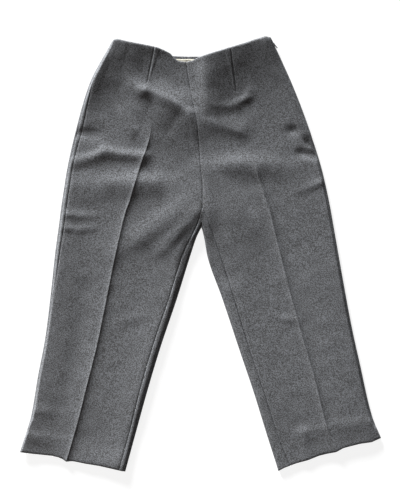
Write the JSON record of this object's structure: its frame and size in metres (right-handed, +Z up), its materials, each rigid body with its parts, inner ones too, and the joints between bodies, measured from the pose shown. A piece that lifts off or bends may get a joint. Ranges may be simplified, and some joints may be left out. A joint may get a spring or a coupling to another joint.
{
  "type": "cropped trousers",
  "caption": "Cropped, tapered wool flannel trousers laid flat front up, faced waist, darts, pressed creases, side zip and hem slits.",
  "frame": {"origin": "centre of the bounding box in plan, on the surface that the trousers lie on", "axes": "+Y from the hems to the waist, +Z up out of the surface, +X to the wearer's left, which is the picture's right"},
  "size_m": [0.686, 0.8248, 0.0115],
  "materials": {
    "flannel": "mid grey melange wool flannel, matt and softly napped",
    "cream_tape": "cream woven tape",
    "zip_tape": "black woven zip tape",
    "zip_metal": "black enamelled metal"
  },
  "bodies": {
    "garment": {"front_right": "flannel", "front_left": "flannel", "back_right": "flannel", "back_left": "flannel", "waist_tape": "cream_tape", "zip_tape_front": "zip_tape", "zip_tape_back": "zip_tape", "zip_chain": "zip_metal", "zip_slider": "zip_metal"},
    "pull": {"zip_pull": "zip_metal"}
  },
  "joints": [
    {"name": "pull_swing", "type": "hinge", "parent": "garment", "child": "pull", "pos_m": [0.13914, 0.40058, 0.0035], "axis": [0, 0, 1], "range_deg": [-10, 130]}
  ]
}
